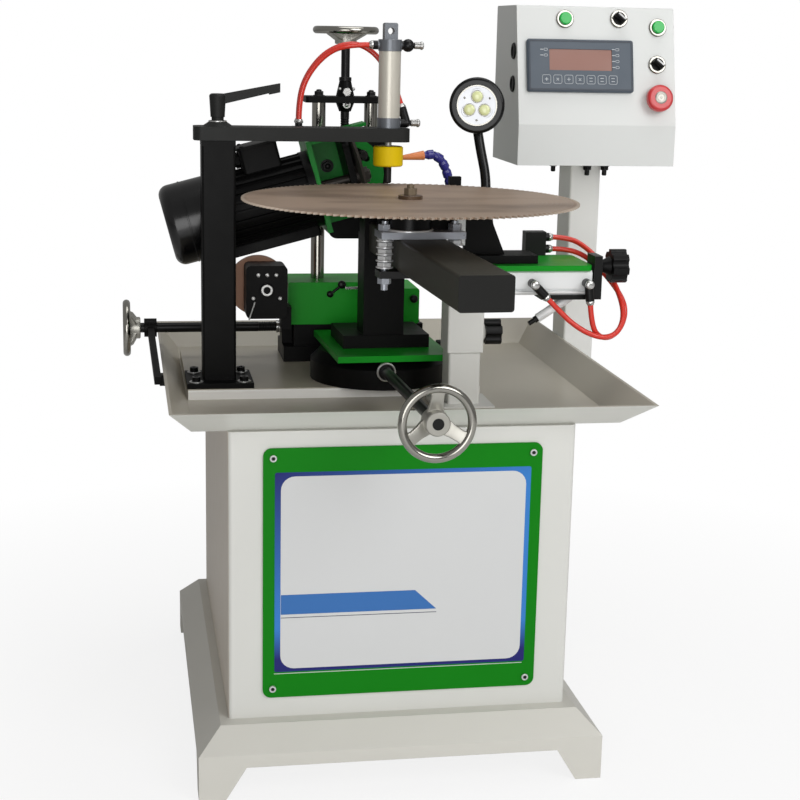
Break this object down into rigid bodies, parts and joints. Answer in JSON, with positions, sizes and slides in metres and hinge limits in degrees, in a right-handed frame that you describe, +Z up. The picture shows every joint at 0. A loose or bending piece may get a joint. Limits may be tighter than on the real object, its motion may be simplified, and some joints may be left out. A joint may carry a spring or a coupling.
{
  "type": "saw blade sharpener",
  "caption": "Cabinet-mounted circular saw blade sharpener with tilting motor grinding head, blade table, air press arm, tooth pusher, lamp and control box.",
  "frame": {"origin": "floor level at the middle of the whole machine's plan outline", "axes": "+Z up, -Y the front with the panel, +X to the right where the control box stands"},
  "size_m": [0.891, 0.9816, 1.119],
  "materials": {
    "base_plinth": "satin",
    "cabinet": "satin",
    "front_panel": "gloss print",
    "fixing_screws": "satin",
    "chip_tray": "satin",
    "bed_plate": "satin",
    "press_column": "semi gloss",
    "round_base": "satin",
    "slideway": "satin",
    "pusher_post": "satin",
    "coolant_hose": "satin",
    "coolant_nozzle": "satin",
    "box_post": "satin",
    "control_box": "satin",
    "control_bezels": "satin",
    "display": "satin",
    "press_arm": "satin",
    "cylinder_tube": "anodised",
    "cylinder_caps": "anodised",
    "press_hoses": "satin",
    "clamp_lever": "satin",
    "press_rod": "polished",
    "press_pad": "satin",
    "front_handwheel": "polished",
    "cross_screw": "blackened",
    "slide_plate": "gloss",
    "support_column": "satin",
    "beam": "satin",
    "arbor_carriage": "machined",
    "saw_blade": "bronzed",
    "arbor": "blackened",
    "left_handwheel": "polished",
    "grind_carriage": "gloss",
    "guide_rods": "polished",
    "top_plate": "satin",
    "gearbox": "painted",
    "top_handwheel": "polished",
    "head_slide": "painted",
    "motor_bracket": "gloss",
    "spindle_plate": "satin",
    "motor_body": "painted",
    "motor_cowl": "satin",
    "spindle": "machined",
    "grinding_wheel": "abrasive",
    "cam_disc": "bronzed",
    "pusher_sleeve": "satin",
    "pusher_plate": "gloss",
    "pusher_cylinder": "anodised",
    "pusher_fittings": "satin",
    "pusher_hoses": "satin",
    "lamp": "satin",
    "lamp_lens": "clear coated",
    "sleeve_knob": "satin",
    "pusher_carriage": "satin",
    "star_knob": "satin",
    "button_top": "gloss",
    "button_side": "gloss",
    "selector_top": "satin",
    "selector_side": "satin",
    "emergency_stop": "gloss"
  },
  "bodies": {
    "frame": {"base_plinth": "base_plinth", "cabinet": "cabinet", "front_panel": "front_panel", "fixing_screws": "fixing_screws", "chip_tray": "chip_tray", "bed_plate": "bed_plate", "press_column": "press_column", "round_base": "round_base", "slideway": "slideway", "pusher_post": "pusher_post", "coolant_hose": "coolant_hose", "coolant_nozzle": "coolant_nozzle", "box_post": "box_post", "control_box": "control_box", "control_bezels": "control_bezels", "display": "display"},
    "arm": {"press_arm": "press_arm", "cylinder_tube": "cylinder_tube", "cylinder_caps": "cylinder_caps", "press_hoses": "press_hoses"},
    "lever": {"clamp_lever": "clamp_lever"},
    "rod": {"press_rod": "press_rod", "press_pad": "press_pad"},
    "cross_wheel": {"front_handwheel": "front_handwheel", "cross_screw": "cross_screw"},
    "table": {"slide_plate": "slide_plate", "support_column": "support_column", "beam": "beam"},
    "arbor_slide": {"arbor_carriage": "arbor_carriage"},
    "blade": {"saw_blade": "saw_blade", "arbor": "arbor"},
    "feed_wheel": {"left_handwheel": "left_handwheel"},
    "carriage": {"grind_carriage": "grind_carriage", "guide_rods": "guide_rods", "top_plate": "top_plate", "gearbox": "gearbox"},
    "lift_wheel": {"top_handwheel": "top_handwheel"},
    "head": {"head_slide": "head_slide"},
    "motor": {"motor_bracket": "motor_bracket", "spindle_plate": "spindle_plate", "motor_body": "motor_body", "motor_cowl": "motor_cowl"},
    "wheel": {"spindle": "spindle", "grinding_wheel": "grinding_wheel"},
    "cam": {"cam_disc": "cam_disc"},
    "pusher": {"pusher_sleeve": "pusher_sleeve", "pusher_plate": "pusher_plate", "pusher_cylinder": "pusher_cylinder", "pusher_fittings": "pusher_fittings", "pusher_hoses": "pusher_hoses", "lamp": "lamp", "lamp_lens": "lamp_lens"},
    "sleeve_clamp": {"sleeve_knob": "sleeve_knob"},
    "pusher_slide": {"pusher_carriage": "pusher_carriage"},
    "star": {"star_knob": "star_knob"},
    "start_button": {"button_top": "button_top"},
    "reset_button": {"button_side": "button_side"},
    "mode_selector": {"selector_top": "selector_top"},
    "power_selector": {"selector_side": "selector_side"},
    "stop": {"emergency_stop": "emergency_stop"}
  },
  "joints": [
    {"name": "arm_swing", "type": "hinge", "parent": "frame", "child": "arm", "pos_m": [-0.3025, 0.07783, 0.92], "axis": [0, 0, 1], "range_deg": [-75, 0]},
    {"name": "lever_turn", "type": "hinge", "parent": "frame", "child": "lever", "pos_m": [-0.3025, 0.07783, 0.95], "axis": [0, 0, 1], "range_deg": [-60, 60]},
    {"name": "press_stroke", "type": "slide", "parent": "arm", "child": "rod", "axis": [0, 0, -1], "range_m": [-0.006, 0.002]},
    {"name": "cross_feed", "type": "slide", "parent": "frame", "child": "table", "axis": [-0.0436, 0.999, 0], "range_m": [-0.008, 0.006]},
    {"name": "cross_wheel_turn", "type": "hinge", "parent": "frame", "child": "cross_wheel", "pos_m": [-0.04573, -0.32833, 0.577], "axis": [-0.0436, 0.999, 0], "range_deg": [-580, 440]},
    {"name": "arbor_shift", "type": "slide", "parent": "table", "child": "arbor_slide", "axis": [0.0436, -0.999, 0], "range_m": [0, 0.12]},
    {"name": "blade_spin", "type": "hinge", "parent": "arbor_slide", "child": "blade", "pos_m": [-0.0492, -0.13429, 0.845], "axis": [0, 0, 1], "continuous": true},
    {"name": "carriage_feed", "type": "slide", "parent": "frame", "child": "carriage", "axis": [1, 0, 0], "range_m": [-0.02, 0.02]},
    {"name": "feed_wheel_turn", "type": "hinge", "parent": "frame", "child": "feed_wheel", "pos_m": [-0.4305, 0.27083, 0.595], "axis": [1, 0, 0], "range_deg": [-1450, 1450]},
    {"name": "head_lift", "type": "slide", "parent": "carriage", "child": "head", "axis": [0, 0, 1], "range_m": [-0.012, 0.03]},
    {"name": "lift_wheel_turn", "type": "hinge", "parent": "carriage", "child": "lift_wheel", "pos_m": [-0.0855, 0.27683, 1.06], "axis": [0, 0, 1], "range_deg": [-1090, 2710]},
    {"name": "head_tilt", "type": "hinge", "parent": "head", "child": "motor", "pos_m": [-0.0855, 0.25083, 0.848], "axis": [0, 1, 0], "range_deg": [0, 15]},
    {"name": "wheel_spin", "type": "hinge", "parent": "motor", "child": "wheel", "pos_m": [-0.0855, 0.17383, 0.848], "axis": [0.9659, 0, 0.2588], "continuous": true},
    {"name": "cam_spin", "type": "hinge", "parent": "carriage", "child": "cam", "pos_m": [-0.2225, 0.21083, 0.673], "axis": [0, 1, 0], "continuous": true},
    {"name": "pusher_height", "type": "slide", "parent": "frame", "child": "pusher", "axis": [0, 0, 1], "range_m": [-0.015, 0.008]},
    {"name": "sleeve_clamp_turn", "type": "hinge", "parent": "pusher", "child": "sleeve_clamp", "pos_m": [0.0945, -0.04417, 0.6415], "axis": [1, 0, 0], "range_deg": [-180, 180]},
    {"name": "pusher_stroke", "type": "slide", "parent": "pusher", "child": "pusher_slide", "axis": [1, 0, 0], "range_m": [-0.02, 0.01]},
    {"name": "star_turn", "type": "hinge", "parent": "pusher", "child": "star", "pos_m": [0.2645, -0.05717, 0.741], "axis": [1, 0, 0], "range_deg": [-180, 180]},
    {"name": "start_press", "type": "slide", "parent": "frame", "child": "start_button", "axis": [0, 0.9743, -0.2252], "range_m": [0, 0.004], "stiffness_N_per_m": 500, "springref_m": -0.003},
    {"name": "reset_press", "type": "slide", "parent": "frame", "child": "reset_button", "axis": [0, 0.9743, -0.2252], "range_m": [0, 0.004], "stiffness_N_per_m": 500, "springref_m": -0.003},
    {"name": "mode_turn", "type": "hinge", "parent": "frame", "child": "mode_selector", "pos_m": [0.3525, 0.23157, 1.10058], "axis": [0, 0.9743, -0.2252], "range_deg": [-45, 45]},
    {"name": "power_turn", "type": "hinge", "parent": "frame", "child": "power_selector", "pos_m": [0.4155, 0.21513, 1.02946], "axis": [0, 0.9743, -0.2252], "range_deg": [-45, 45]},
    {"name": "stop_press", "type": "slide", "parent": "frame", "child": "stop", "axis": [0, 0.9743, -0.2252], "range_m": [0, 0.005]}
  ],
  "couplings": [
    {"joint": "cross_wheel_turn", "follows": "cross_feed", "rad_per_m": 1256.6},
    {"joint": "feed_wheel_turn", "follows": "carriage_feed", "rad_per_m": 1256.6},
    {"joint": "lift_wheel_turn", "follows": "head_lift", "rad_per_m": 1570.8}
  ]
}
